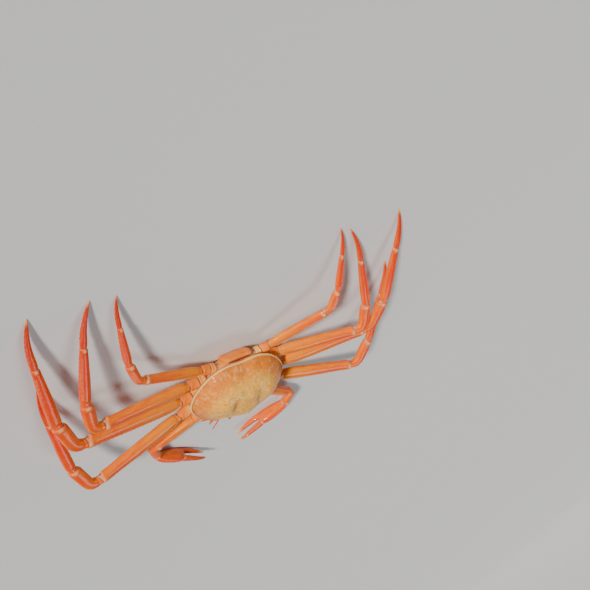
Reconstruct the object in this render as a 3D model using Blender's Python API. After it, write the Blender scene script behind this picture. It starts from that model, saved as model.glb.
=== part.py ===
"""Red snow crab, adult male, as a still life-size model lying on its belly with its legs folded back.

The crab faces -Y, its left side is +X and the floor is z = 0. Shapes are worked out in millimetres
from the carapace's width and are turned into metres when a mesh is made.
"""

import math

import bmesh
import bpy
import numpy as np

MM = 0.001
GAP = 0.3  # between neighbouring pieces
PRESS = 0.35  # how far a tip reaches below the floor before it is flattened there

# Driving dimensions
CARAPACE_WIDTH = 106.0
UNIT = CARAPACE_WIDTH / 106.0  # every other size below is for a carapace 106 mm wide
DOME_HEIGHT = 22.5 * UNIT
MARGIN_Z = 25.0 * UNIT  # the carapace's rim
PARTING_Z = 19.0 * UNIT  # carapace above, thorax below
RIM_DEPTH = 1.6 * UNIT  # thickness of the rim, horns and spines at their edge
WALL_INSET = 0.80  # the side wall's foot, as a share of the outline

# Left half of the carapace's outline in plan, from the hind margin round to the notch between the horns
OUTLINE = [
    (0, 44.0), (12, 45.2), (23, 43.5), (35, 36.5), (46, 23), (52, 9), (53, -3), (49.5, -15),
    (42, -26.5), (37.4, -30.5), (40.2, -34.5), (34.5, -36), (29.5, -39.5), (30.2, -47.5), (24, -42),
    (16, -42), (9.5, -45), (6.2, -55.5), (2.0, -49.5), (0, -48.5),
]
OUTLINE_CORNERS = (10, 13, 17)  # the branchial, orbital and rostral spines
# The body's own wall below the rim, without horns and spines
WALL = [
    (0, 44.0), (12, 45), (23, 43), (35, 36), (46, 22.5), (51.5, 9), (52, -3), (48, -15),
    (41, -26), (36, -31), (33.5, -33.5), (30.5, -36), (27, -38), (24, -39.5), (20.5, -40.5),
    (15.5, -41.5), (11, -42), (7, -42.4), (3, -42.6), (0, -42.6),
]
SPINE_START = 0.93  # share of the way to the rim where horns and spines begin to show
FLANGE = 0.97  # the dome rises from here inwards; beyond it the rim is a narrow flat ledge
RINGS = (0.0, 0.12, 0.24, 0.35, 0.46, 0.56, 0.66, 0.75, 0.83, 0.9, 0.945, FLANGE, 1.0)  # centre to rim
OUTLINE_STEPS = 2  # points for each span of the outline

# Swellings and grooves of the carapace: (x, y, radius x, radius y, height)
REGIONS = [
    (27, 15, 14, 19, 3.6), (-27, 15, 14, 19, 3.6),  # gill chambers
    (0, -15, 12, 11, 2.6),  # stomach
    (0, 17, 8, 9, 2.4),  # heart
    (0, 34, 9, 5, 1.2),  # gut
    (13.5, 4, 3.6, 9, -2.4), (-13.5, 4, 3.6, 9, -2.4),  # grooves beside the heart
    (23, -11, 10, 3.6, -2.2), (-23, -11, 10, 3.6, -2.2),  # neck grooves
    (29, -25, 6, 6, 1.8), (-29, -25, 6, 6, 1.8),  # liver lobes
]

# Abdomen: its middle from under the hind margin to the tip below the belly, as (y, z, half width) at the
# ends of its seven segments
PLEON_LINE = [
    (43.0, 20.2, 13.5), (42.6, 15.6, 15.6), (39.6, 10.0, 16.2), (33.4, 4.2, 15.4), (24.5, 1.3, 12.8),
    (14.5, 1.3, 10.6), (3, 1.3, 8.6), (-13, 1.3, 3.2),
]
PLEON_THICK = 3.2
# Rings within each segment: (share of its length, share of the thickness and width)
PLEON_RINGS = [(0.04, 0.86), (0.22, 0.97), (0.62, 1.0), (0.92, 0.97)]
# Thorax at rising heights: (z, share of the wall's width, front y, hind y)
THORAX_LEVELS = [
    (0.0, 0.44, -20, 22), (1.2, 0.52, -24, 27), (6.0, 0.62, -31, 33), (12.5, 0.67, -36.5, 38),
    (18.85, 0.68, -37.5, 41),
]

# Left eye and antenna: rows of x, y, z and diameter along them
EYE = [(13.5, -36.5, 21.6, 3.4), (17, -39.5, 21.6, 3.6), (20, -43.2, 21.8, 4.6), (21.6, -45.6, 22.0, 4.2),
       (22.3, -46.8, 22.1, 1.6)]
ANTENNA = [(11, -33, 15.5, 4.0), (12, -41, 16.2, 4.0), (13, -47, 17.0, 2.6), (14.5, -54, 17.8, 1.7),
           (18, -62, 18.6, 1.3), (23, -69, 19.6, 1.0)]
# Outer mouthpart of the left side: (y, z, inner x, outer x) down its middle
MOUTH = [(-38.6, 15.5, 0.3, 7.5), (-36.4, 11, 0.3, 9), (-31.5, 5.6, 0.3, 8.4), (-26, 2.2, 0.3, 6.5)]
MOUTH_THICK = 3.0

# Limbs of the left side. root: centre of the thorax's socket; rise: start of the long segment, the merus;
# base: size of the coxa; deep, thick: the merus across, in the plane it bends in and square to that;
# long: lengths of merus, carpus, propodus and dactyl, or of merus, carpus, palm and movable finger.
LIMBS = {
    "leg1": dict(root=(34, -12, 12.2), rise=(60, -25, 14), base=(12.4, 12.2), deep=14.4, thick=9.2,
                 long=(92, 40, 62, 44)),
    "leg2": dict(root=(36, 4, 12.2), rise=(59, 0, 14), base=(12.4, 12.4), deep=15.2, thick=9.4,
                 long=(97, 42, 66, 46)),
    "leg3": dict(root=(32, 19.5, 12.2), rise=(51, 21, 14), base=(12.0, 12.2), deep=14.2, thick=9.0,
                 long=(88, 38, 58, 42)),
    "leg4": dict(root=(22.8, 31.5, 12.8), rise=(38, 38, 13.6), base=(10.6, 10.8), deep=10.4, thick=7.2,
                 long=(66, 27, 40, 30)),
    "claw": dict(root=(27.5, -26.5, 12.2), rise=(43, -42, 13), base=(11.6, 11.6), deep=12.4, thick=11.0,
                 long=(50, 25, 38, 34)),
}
# Pose of each limb in degrees. heading: forward of straight sideways; twist: turns the underside to the
# rear; knee, ankle, toe: bends at the roots of carpus, propodus and dactyl. The lift comes from the floor.
POSE = {
    "right": {
        "leg1": dict(heading=12, twist=76, knee=84, ankle=14, toe=16),
        "leg2": dict(heading=-11, twist=76, knee=66, ankle=12, toe=18),
        "leg3": dict(heading=-9, twist=77, knee=82, ankle=10, toe=16),
        "leg4": dict(heading=-27, twist=70, knee=52, ankle=12, toe=14),
        "claw": dict(heading=36, twist=-88, knee=72, ankle=38, toe=6),
    },
    "left": {
        "leg1": dict(heading=8, twist=76, knee=78, ankle=12, toe=16),
        "leg2": dict(heading=-13, twist=74, knee=58, ankle=16, toe=16),
        "leg3": dict(heading=-7, twist=76, knee=86, ankle=12, toe=18),
        "leg4": dict(heading=-30, twist=66, knee=46, ankle=14, toe=16),
        "claw": dict(heading=40, twist=-86, knee=66, ankle=46, toe=7),
    },
}
# Where along a segment its bend ends, and how it swells: (share of length, depth, thickness), both as
# shares of the merus; the palm and finger also: how far their middle stands to the upper side
SEGMENTS = {
    "merus": dict(bend_end=0.1, swell=[(0, 0.66, 0.84), (0.06, 0.86, 0.94), (0.22, 1, 1), (0.55, 0.96, 0.98),
                                       (0.88, 0.84, 0.92), (0.96, 0.88, 1.0), (1, 0.84, 0.96)]),
    "carpus": dict(bend_end=0.45, swell=[(0, 0.70, 0.86), (0.14, 0.74, 0.92), (0.3, 0.78, 0.94),
                                         (0.48, 0.82, 0.94), (0.9, 0.84, 0.90), (1, 0.76, 0.8)]),
    "propodus": dict(bend_end=0.16, swell=[(0, 0.58, 0.66), (0.1, 0.68, 0.74), (0.3, 0.68, 0.72),
                                           (0.7, 0.56, 0.62), (0.95, 0.46, 0.54), (1, 0.42, 0.50)]),
    "dactyl": dict(bend_end=1.0, swell=[(0, 0.40, 0.48), (0.1, 0.42, 0.48), (0.4, 0.34, 0.40),
                                        (0.7, 0.23, 0.28), (0.9, 0.13, 0.17), (1, 0.05, 0.07)]),
}
# Claw: the palm with its fixed finger, then the movable finger; (share, depth, thickness, offset) in mm
HAND = [(0, 8.4, 8.6, 0), (0.06, 9.6, 11, 0), (0.2, 11, 14.4, 0.2), (0.36, 11.6, 16.2, 0.2),
        (0.524, 9.6, 16.2, 0), (0.530, 6.8, 7.2, -4.4), (0.6, 6.2, 6.6, -4.4), (0.75, 5, 5.4, -3.6),
        (0.9, 3.4, 3.4, -1.8), (1, 1.6, 1.6, -0.2)]
FINGER = [(0, 7.0, 6.6, 0), (0.08, 7.0, 7.2, 0), (0.3, 5.8, 6.2, 0.2), (0.6, 4.4, 4.6, 0.2),
          (0.85, 2.8, 3.0, -0.4), (1, 1.6, 1.6, -1.2)]
PALM_SHARE = 0.528  # where on the hand the movable finger starts
HINGE = 4.5  # how far the movable finger's hinge stands to the upper side of the palm
SIDES = 10
BASE_SWELL = [(0, 1.0, 1.0), (0.22, 1.04, 1.04), (0.40, 0.84, 0.88), (0.55, 0.96, 0.98), (0.82, 0.90, 0.94),
              (1, 0.76, 0.80)]  # coxa, then ischium: (share, depth, thickness) of the base's size
STUB_DEPTH = 9.0 * UNIT
STUB_SIZE = 0.94
ROUNDNESS = 2.3  # exponent of the limbs' cross-section: 2 is an ellipse, more is boxier

COLOURS = {  # base colour, roughness
    "shell": ((0.42, 0.25, 0.10), 0.42),
    "limb": ((0.86, 0.24, 0.04), 0.30),
    "under": ((0.80, 0.42, 0.18), 0.40),
    "eye": ((0.02, 0.015, 0.012), 0.12),
}


def unit(v):
    """Vectors scaled to length 1, along the last axis."""
    v = np.asarray(v, float)
    return v / np.linalg.norm(v, axis=-1, keepdims=True)


def smooth_line(points, corners, steps):
    """Hermite curve through the points, p(t) from chord-length tangents, straight into each corner."""
    p = np.array(points, float)
    chord = np.linalg.norm(np.diff(p, axis=0), axis=1)
    tangent = np.zeros_like(p)
    tangent[1:-1] = (p[2:] - p[:-2]) / (chord[1:] + chord[:-1])[:, None]
    tangent[0] = tangent[-1] = (0, 0)
    tangent[0][0] = np.sign(p[1][0] - p[0][0])
    tangent[-1][0] = np.sign(p[-1][0] - p[-2][0])
    t = np.arange(steps)[:, None] / steps
    rows = []
    for i, length in enumerate(chord):
        straight = (p[i + 1] - p[i]) / length
        start = straight if i in corners else tangent[i]
        end = straight if i + 1 in corners else tangent[i + 1]
        rows.append((2 * t**3 - 3 * t**2 + 1) * p[i] + (t**3 - 2 * t**2 + t) * length * start
                    + (3 * t**2 - 2 * t**3) * p[i + 1] + (t**3 - t**2) * length * end)
    return np.vstack(rows + [p[-1:]])


def closed_outline(half, corners, steps):
    """The left half and its mirror image as one closed ring of points, counted once at the midline."""
    left = smooth_line(half, corners, steps)
    right = left[-2:0:-1] * (-1, 1)
    return np.vstack([left, right]) * UNIT


def dome(x, y, share):
    """Height over the rim: the dome's bulge (1 - r^p)^q, lower towards the face, and the regions on it."""
    face = np.interp(y / UNIT, [-52, -42, -30, -12, 8], [0.10, 0.30, 0.62, 0.92, 1.0])
    body = (1 - np.clip(share / FLANGE, 0, 1) ** 2.5) ** 0.72
    lumps = sum(h * np.exp(-(((x / UNIT - cx) / rx) ** 2) - ((y / UNIT - cy) / ry) ** 2)
                for cx, cy, rx, ry, h in REGIONS)
    return DOME_HEIGHT * face * body + UNIT * lumps * body


def closed_mesh(name, rings, pole=False):
    """A closed surface through rings of points, in mm; its ends are flat, or the last one is a point."""
    rings = np.asarray(rings, float)
    around = rings.shape[1]
    sides = rings[:-1] if pole else rings
    points = list(sides.reshape(-1, 3))
    faces = []
    for i in range(len(sides) - 1):
        for j in range(around):
            k = (j + 1) % around
            faces.append((i * around + j, i * around + k, (i + 1) * around + k, (i + 1) * around + j))
    faces.append(tuple(range(around))[::-1])
    last = (len(sides) - 1) * around
    if pole:
        points.append(rings[-1].mean(axis=0))
        faces += [(len(points) - 1, last + j, last + (j + 1) % around) for j in range(around)]
    else:
        faces.append(tuple(range(last, last + around)))
    mesh = bpy.data.meshes.new(name)
    mesh.from_pydata([tuple(float(c) * MM for c in p) for p in points], [], faces)
    work = bmesh.new()
    work.from_mesh(mesh)
    bmesh.ops.recalc_face_normals(work, faces=work.faces)
    work.to_mesh(mesh)
    work.free()
    return mesh


def material(name):
    """A Principled material from the table of colours."""
    found = bpy.data.materials.get(name)
    if found:
        return found
    made = bpy.data.materials.new(name)
    made.use_nodes = True
    colour, roughness = COLOURS[name]
    shader = made.node_tree.nodes["Principled BSDF"]
    shader.inputs["Base Color"].default_value = (*colour, 1)
    shader.inputs["Roughness"].default_value = roughness
    shader.inputs["Metallic"].default_value = 0
    return made


def node(name, mesh, look):
    """One named object from a mesh, smooth but for its sharp edges."""
    obj = bpy.data.objects.new(name, mesh)
    bpy.context.scene.collection.objects.link(obj)
    mesh.materials.clear()
    mesh.materials.append(material(look))
    mesh.shade_smooth()
    mesh.set_sharp_from_angle(angle=math.radians(40))
    return obj


def boolean(obj, tools, operation):
    """Joins the tools to obj, or cuts them out of it, in one Boolean, applied; the tools are removed."""
    group = bpy.data.collections.new("tools")
    for i, mesh in enumerate(tools):
        group.objects.link(bpy.data.objects.new(f"tool_{i}", mesh))
    change = obj.modifiers.new(operation.lower(), "BOOLEAN")
    change.operation = operation
    change.solver = "EXACT"
    change.operand_type = "COLLECTION"
    change.collection = group
    bpy.context.scene.collection.children.link(group)
    bpy.context.view_layer.update()
    found = obj.evaluated_get(bpy.context.evaluated_depsgraph_get())
    mesh = bpy.data.meshes.new_from_object(found)
    obj.modifiers.clear()
    old = obj.data
    obj.data = mesh
    bpy.data.meshes.remove(old)
    for tool in list(group.objects):
        bpy.data.objects.remove(tool)
    bpy.data.collections.remove(group)
    keep_largest(obj)


def keep_largest(obj):
    """Drops every closed surface of the mesh but the one with the largest box, so one body is left."""
    work = bmesh.new()
    work.from_mesh(obj.data)
    left = set(work.verts)
    groups = []
    while left:
        front = [left.pop()]
        group = list(front)
        while front:
            near = {w for v in front for e in v.link_edges for w in e.verts} & left
            left -= near
            front = list(near)
            group += front
        groups.append(group)
    size = [np.ptp([v.co for v in group], axis=0).prod() for group in groups]
    for i, group in enumerate(groups):
        if i != int(np.argmax(size)):
            bmesh.ops.delete(work, geom=group, context="VERTS")
    work.to_mesh(obj.data)
    work.free()


def section(deep, thick):
    """Superellipse |x/a|^m + |y/b|^m = 1, as offsets along the side and the normal."""
    angle = 2 * np.pi * (np.arange(SIDES) + 0.5) / SIDES
    c, s = np.cos(angle), np.sin(angle)
    power = 2 / ROUNDNESS
    across = thick / 2 * np.sign(c) * np.abs(c) ** power
    up = deep / 2 * np.sign(s) * np.abs(s) ** power
    return across[:, None], up[:, None]


def tube_rings(centre, along, normal, deep, thick, offset=None):
    """Rings of the cross-section set square to a centreline, shifted sideways by the offset."""
    side = np.cross(along, normal)
    shift = np.zeros(len(centre)) if offset is None else offset
    rings = []
    for p, s, n, d, t, o in zip(centre, side, normal, deep, thick, shift):
        across, up = section(d, t)
        rings.append(p + (across + o) * s + up * n)
    return np.array(rings)


def bent_line(start, along, normal, length, bend, bend_end, shares):
    """Centreline of one segment: it turns by bend within the first bend_end of its length, then runs on.

    The angle is bend * (3u^2 - 2u^3), u = share / bend_end, and the place is the integral of its direction.
    """
    fine = np.linspace(0, 1, 121)
    u = np.clip(fine / bend_end, 0, 1)
    angle = math.radians(bend) * u * u * (3 - 2 * u)
    direction = np.cos(angle)[:, None] * along - np.sin(angle)[:, None] * normal
    step = (direction[1:] + direction[:-1]) / 2 * length / (len(fine) - 1)
    place = start + np.vstack([np.zeros(3), np.cumsum(step, axis=0)])
    shares = np.asarray(shares, float)
    centre = np.stack([np.interp(shares, fine, place[:, k]) for k in range(3)], 1)
    turn = np.interp(shares, fine, angle)[:, None]
    return centre, np.cos(turn) * along - np.sin(turn) * normal, np.cos(turn) * normal + np.sin(turn) * along


def segment_rings(line, table, bend_end, scale):
    """Rings of one limb segment, cut square at both ends, and the frame at its far end.

    line: start, direction, normal, length and bend; table: rows of share, depth, thickness and offset.
    """
    share, deep, thick, offset = np.array(table, float).T
    start, along, normal, length, bend = line
    cut = np.clip(share, GAP / 2 / length, 1 - GAP / 2 / length)
    centre, forward, up = bent_line(start, along, normal, length, bend, bend_end, cut)
    ends = bent_line(start, along, normal, length, bend, bend_end, [1.0])
    rings = tube_rings(centre, forward, up, scale[0] * deep, scale[1] * thick, scale[1] * offset)
    return rings, tuple(e[0] for e in ends)


def limb_frame(heading, lift, twist):
    """Direction and upper side of a left limb that points sideways, turned forward, up and about itself."""
    h, l, t = (math.radians(a) for a in (heading, lift, twist))
    along = np.array([math.cos(h) * math.cos(l), -math.sin(h) * math.cos(l), math.sin(l)])
    up = unit(np.array([0, 0, 1.0]) - along[2] * along)
    return along, unit(math.cos(t) * up + math.sin(t) * np.cross(along, up))


def limb_segments(name, pose, lift):
    """Rings of every segment beyond the base, for one lift of the limb."""
    limb = LIMBS[name]
    along, normal = limb_frame(pose["heading"], lift, pose["twist"])
    place = np.array(limb["rise"], float) * UNIT
    bends = (0, pose["knee"], pose["ankle"], pose["toe"])
    lengths = np.array(limb["long"], float) * UNIT
    scale = (limb["deep"] * UNIT, limb["thick"] * UNIT)
    found = {}
    for kind, length, bend in zip(SEGMENTS, lengths, bends):
        if name == "claw" and kind == "propodus":
            break
        table = [(*row, 0) for row in SEGMENTS[kind]["swell"]]
        line = (place, along, normal, length, bend)
        found[kind], (place, along, normal) = segment_rings(line, table, SEGMENTS[kind]["bend_end"], scale)
    if name == "claw":
        whole = lengths[2] / PALM_SHARE
        line = (place, along, normal, whole, bends[2])
        found["hand"], _ = segment_rings(line, HAND, 0.16, (UNIT, UNIT))
        hinge, along, normal = (e[0] for e in bent_line(*line, 0.16, [PALM_SHARE]))
        side = np.cross(along, normal)
        opening = math.radians(bends[3])
        reach = math.cos(opening) * along + math.sin(opening) * side
        line = (hinge + HINGE * UNIT * side, reach, normal, lengths[3], 0)
        found["finger"], _ = segment_rings(line, FINGER, 1, (UNIT, UNIT))
    return found, limb_frame(pose["heading"], lift, pose["twist"])


def settled(name, pose):
    """The segments at the lift where the limb's lowest point just presses on the floor, by bisection."""
    low, high = -25.0, 45.0
    for _ in range(40):
        lift = (low + high) / 2
        found, frame = limb_segments(name, pose, lift)
        if min(rings[..., 2].min() for rings in found.values()) < -PRESS:
            low = lift
        else:
            high = lift
    return found, frame, lift


def base_line(limb, merus_along, merus_normal, shares):
    """Centreline of coxa and ischium: a quadratic curve from the socket into the merus's direction."""
    root = np.array(limb["root"], float) * UNIT
    rise = np.array(limb["rise"], float) * UNIT
    reach = np.linalg.norm(rise - root)
    middle = rise - merus_along * reach * 0.45
    t = np.asarray(shares, float)[:, None]
    centre = (1 - t) ** 2 * root + 2 * t * (1 - t) * middle + t**2 * rise
    along = unit((1 - t) * (middle - root) + t * (rise - middle))
    blend = (1 - t) * np.array([0, 0, 1.0]) + t * merus_normal
    normal = unit(blend - (blend * along).sum(1, keepdims=True) * along)
    return centre, along, normal, reach


def base_rings(limb, merus_along, merus_normal, grow):
    """Rings of the base segment, grown all round."""
    share, deep, thick = np.array(BASE_SWELL, float).T
    reach = base_line(limb, merus_along, merus_normal, [0.0])[3]
    cut = np.clip(share, (GAP / 2 - grow) / reach, 1 - GAP / 2 / reach)
    centre, along, normal, _ = base_line(limb, merus_along, merus_normal, cut)
    size = np.array(limb["base"]) * UNIT
    return tube_rings(centre, along, normal, size[1] * deep + 2 * grow, size[0] * thick + 2 * grow)


def stub_rings(limb, merus_along, merus_normal):
    """Rings of the stub by which the thorax carries a limb."""
    centre, along, normal, _ = base_line(limb, merus_along, merus_normal, [0.0])
    size = np.array(limb["base"]) * UNIT * STUB_SIZE
    line = np.array([centre[0] - along[0] * STUB_DEPTH, centre[0] - along[0] * GAP / 2])
    return tube_rings(line, along[[0, 0]], normal[[0, 0]], size[[1, 1]], size[[0, 0]])


def mirrored(rings, side):
    """The same rings on the crab's right or left, pressed flat where they reach the floor."""
    rings = np.array(rings, float)
    rings[..., 2] = np.maximum(rings[..., 2], 0)
    return rings * (-1, 1, 1) if side == "right" else rings


def build_limb(side, name):
    """One limb as its named segments; returns the thorax's socket and stub for it."""
    limb = LIMBS[name]
    parts, frame, lift = settled(name, POSE[side][name])
    for kind, rings in {"base": base_rings(limb, *frame, 0), **parts}.items():
        label = f"{side}_{name}_{kind}"
        node(label, closed_mesh(label, mirrored(rings, side)), "limb")
    print(f"{side} {name}: lift {lift:.1f}")
    socket = closed_mesh("socket", mirrored(base_rings(limb, *frame, GAP), side))
    return socket, closed_mesh("stub", mirrored(stub_rings(limb, *frame), side))


def carapace():
    """The dorsal shell: dome, rim with horns and spines, and the wall below it down to the parting."""
    rim = closed_outline(OUTLINE, OUTLINE_CORNERS, OUTLINE_STEPS)
    wall = closed_outline(WALL, (), OUTLINE_STEPS)
    rings = [np.column_stack([wall * WALL_INSET, np.full(len(wall), PARTING_Z + GAP / 2)]),
             np.column_stack([wall * 0.965, np.full(len(wall), MARGIN_Z - 2.2 * RIM_DEPTH)]),
             np.column_stack([rim * 0.985, np.full(len(rim), MARGIN_Z - RIM_DEPTH)])]
    for share in RINGS[::-1]:
        spiky = np.clip((share - SPINE_START) / (1 - SPINE_START), 0, 1)
        plan = (wall + (rim - wall) * spiky) * share
        height = MARGIN_Z + dome(plan[:, 0], plan[:, 1], share)
        rings.append(np.column_stack([plan, height]))
    shell = node("carapace", closed_mesh("carapace", rings, pole=True), "shell")
    boolean(shell, [closed_mesh("socket", eye_rings(side, GAP)) for side in (-1, 1)], "DIFFERENCE")


def rod_rings(line, grow):
    """Rings round a straight or bent rod given as rows of x, y, z and diameter."""
    rows = np.array(line, float) * UNIT
    centre = rows[:, :3]
    along = unit(np.gradient(centre, axis=0))
    centre = centre + np.linspace(-1, 1, len(rows))[:, None].round() * along * grow
    normal = unit(np.array([0, 0, 1.0]) - along[:, 2:] * along)
    return tube_rings(centre, along, normal, rows[:, 3] + 2 * grow, rows[:, 3] + 2 * grow)


def eye_rings(side, grow):
    return rod_rings(EYE, grow) * (side, 1, 1)


def antenna_rings(side, grow):
    return rod_rings(ANTENNA, grow) * (side, 1, 1)


def mouth_rings(side, grow):
    """Outer mouthpart (maxilliped): a slab down the slope of the face, beside the midline."""
    rows = np.array(MOUTH, float) * UNIT
    along = unit(np.gradient(rows[:, :2], axis=0))
    out = np.column_stack([along[:, 1], -along[:, 0]])
    rings = []
    for i, (y, z, inner, outer) in enumerate(rows):
        reach = grow * (-1 if i == 0 else 1 if i == len(rows) - 1 else 0)
        across = np.array([inner - grow, inner - grow, outer + grow, outer + grow])
        raised = np.array([-1, 1, 0.7, -1]) * (MOUTH_THICK * UNIT / 2 + grow)
        slope = np.array([y, z]) + along[i] * reach + raised[:, None] * out[i]
        rings.append(np.column_stack([across, slope]))
    return np.array(rings) * (side, 1, 1)


def pleon_rings(grow):
    """Flattened rings along the abdomen's midline, each a rounded slab; grow widens them all round."""
    line = np.array(PLEON_LINE, float) * UNIT
    at = np.arange(len(line))
    where = [i + share for i in range(len(line) - 1) for share, _ in PLEON_RINGS]
    swell = [1 if grow else size for _ in range(len(line) - 1) for _, size in PLEON_RINGS]
    y, z, half = (np.interp(where, at, line[:, k]) for k in range(3))
    place = np.column_stack([y, z])
    along = unit(np.gradient(place, axis=0))
    out = np.column_stack([-along[:, 1], along[:, 0]])
    rings = []
    for i, (p, a, o, w, size) in enumerate(zip(place, along, out, half, swell)):
        p = p - a * grow if i == 0 else p + a * grow if i == len(place) - 1 else p
        wide = w * size + grow
        thick = PLEON_THICK * UNIT / 2 * size + grow
        across = np.array([-1, -1, -0.62, 0.62, 1, 1, 0.62, -0.62]) * wide
        raised = np.array([-0.5, 0.3, 1, 1, 0.3, -0.5, -1, -1]) * thick
        rings.append(np.column_stack([across, p + raised[:, None] * o]))
    return np.array(rings)


def thorax(sockets):
    """The underside: levels of the wall's outline, hollowed and joined for limbs, mouth and abdomen."""
    wall = closed_outline(WALL, (), OUTLINE_STEPS)
    rings = []
    for z, share, front, hind in THORAX_LEVELS:
        plan = wall * share
        reach = np.where(plan[:, 1] < 0, front * UNIT / plan[:, 1].min(), hind * UNIT / plan[:, 1].max())
        rings.append(np.column_stack([plan[:, 0], plan[:, 1] * reach, np.full(len(plan), z * UNIT)]))
    body = node("thorax", closed_mesh("thorax", rings), "under")
    beds = [closed_mesh("bed", pleon_rings(GAP))]
    for side in (-1, 1):
        beds.append(closed_mesh("bed", antenna_rings(side, GAP)))
        beds.append(closed_mesh("bed", mouth_rings(side, GAP)))
    boolean(body, [socket for socket, _ in sockets] + beds, "DIFFERENCE")
    boolean(body, [stub for _, stub in sockets], "UNION")


def face():
    """Eyes, antennae and outer mouthparts of both sides."""
    for side, label in ((-1, "right"), (1, "left")):
        node(f"{label}_eye", closed_mesh("eye", eye_rings(side, 0)), "eye")
        node(f"{label}_antenna", closed_mesh("antenna", antenna_rings(side, 0)), "limb")
        node(f"{label}_maxilliped", closed_mesh("maxilliped", mouth_rings(side, 0)), "under")


def pleon():
    """The abdomen folded under the body."""
    rings = pleon_rings(0)
    rings[..., 2] = np.maximum(rings[..., 2], 0)
    node("pleon", closed_mesh("pleon", rings), "under")


def clear_scene():
    for obj in list(bpy.data.objects):
        bpy.data.objects.remove(obj, do_unlink=True)


def main():
    clear_scene()
    carapace()
    sockets = [build_limb(side, name) for side in ("right", "left") for name in LIMBS]
    pleon()
    thorax(sockets)
    face()


main()
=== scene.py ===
"""Looks of the red snow crab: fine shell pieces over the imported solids, joint skin, light and camera.

Shapes are worked out in millimetres from the same named sizes as the part's source, and surface() turns
them into metres. The crab faces -Y, its left side is +X and the floor is z = 0.
"""

import math

import bpy
import numpy as np
from mathutils import Matrix, Vector


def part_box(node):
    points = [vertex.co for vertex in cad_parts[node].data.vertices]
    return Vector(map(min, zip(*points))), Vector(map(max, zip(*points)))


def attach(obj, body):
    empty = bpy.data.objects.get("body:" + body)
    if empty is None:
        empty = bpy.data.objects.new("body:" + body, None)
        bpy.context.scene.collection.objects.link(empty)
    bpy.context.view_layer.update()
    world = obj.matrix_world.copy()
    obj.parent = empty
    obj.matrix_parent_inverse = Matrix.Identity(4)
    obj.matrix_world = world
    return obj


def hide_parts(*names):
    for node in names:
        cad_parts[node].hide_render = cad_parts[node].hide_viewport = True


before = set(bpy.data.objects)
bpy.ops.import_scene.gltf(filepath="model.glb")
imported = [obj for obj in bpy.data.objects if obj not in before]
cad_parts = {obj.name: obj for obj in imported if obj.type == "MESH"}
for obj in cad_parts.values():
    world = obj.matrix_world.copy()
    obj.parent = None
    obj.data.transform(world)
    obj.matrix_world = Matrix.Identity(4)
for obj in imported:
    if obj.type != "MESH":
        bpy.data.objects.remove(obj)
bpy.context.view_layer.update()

MM = 0.001
GAP = 0.3  # between neighbouring solids
PRESS = 0.35  # how far a tip reaches below the floor before it is flattened there

# Driving dimensions; the other sizes below are for a carapace 106 mm wide
CARAPACE_WIDTH = (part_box("carapace")[1].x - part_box("carapace")[0].x) / MM
UNIT = CARAPACE_WIDTH / 106.0
DOME_HEIGHT = 22.5 * UNIT
MARGIN_Z = 25.0 * UNIT  # the carapace's rim
PARTING_Z = 19.0 * UNIT  # carapace above, thorax below
RIM_DEPTH = 1.6 * UNIT
WALL_INSET = 0.80

# Left half of the carapace's outline in plan, from the hind margin round to the notch between the horns
OUTLINE = [
    (0, 44.0), (12, 45.2), (23, 43.5), (35, 36.5), (46, 23), (52, 9), (53, -3), (49.5, -15),
    (42, -26.5), (37.4, -30.5), (40.2, -34.5), (34.5, -36), (29.5, -39.5), (30.2, -47.5), (24, -42),
    (16, -42), (9.5, -45), (6.2, -55.5), (2.0, -49.5), (0, -48.5),
]
OUTLINE_CORNERS = (10, 13, 17)  # the branchial, orbital and rostral spines
WALL = [
    (0, 44.0), (12, 45), (23, 43), (35, 36), (46, 22.5), (51.5, 9), (52, -3), (48, -15),
    (41, -26), (36, -31), (33.5, -33.5), (30.5, -36), (27, -38), (24, -39.5), (20.5, -40.5),
    (15.5, -41.5), (11, -42), (7, -42.4), (3, -42.6), (0, -42.6),
]
SPINE_START = 0.93  # share of the way to the rim where horns and spines begin to show
FLANGE = 0.97  # the dome rises from here inwards; beyond it the rim is a narrow ledge
OUTLINE_STEPS = 12
DOME_ROWS = 150

# Swellings and grooves of the carapace: (x, y, radius x, radius y, height)
REGIONS = [
    (27, 15, 14, 19, 3.6), (-27, 15, 14, 19, 3.6),  # gill chambers
    (0, -15, 12, 11, 2.6),  # stomach
    (0, 17, 8, 9, 2.4),  # heart
    (0, 34, 9, 5, 1.2),  # gut
    (13.5, 4, 3.6, 9, -2.4), (-13.5, 4, 3.6, 9, -2.4),  # grooves beside the heart
    (23, -11, 10, 3.6, -2.2), (-23, -11, 10, 3.6, -2.2),  # neck grooves
    (29, -25, 6, 6, 1.8), (-29, -25, 6, 6, 1.8),  # liver lobes
]
# Fine relief of the shell
REGION_GAIN = 1.4  # the swellings are this much stronger here than on the solid
DOME_FADE = [(-56, 0.10), (-42, 0.30), (-30, 0.62), (-12, 0.92), (8, 1.0), (60, 1.0)]  # y, share of height
DOME_POWERS = (2.5, 0.72)
RIM_BEAD = (0.9, 0.984, 0.009)  # the pale bead: its height, its share of the way to the rim, its width
RIM_VALLEY = (0.5, 0.955, 0.014)
BEAD_COLOUR = (0.972, 0.982)  # shares where its colour comes in
BEAD_FADE = (-28, -16)  # y over which the bead comes in behind the face
LEDGE = [(0.999, 0.35), (0.995, 0.75), (0.985, 1.0)]  # the rim's underside: share, drop in RIM_DEPTH
TUBERCLES = 520
TUBERCLE_RADIUS = 0.95
TUBERCLE_HEIGHT = 0.34
TUBERCLE_SPREAD = (52, 45)  # how far out they lie at most, in x and y

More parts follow.
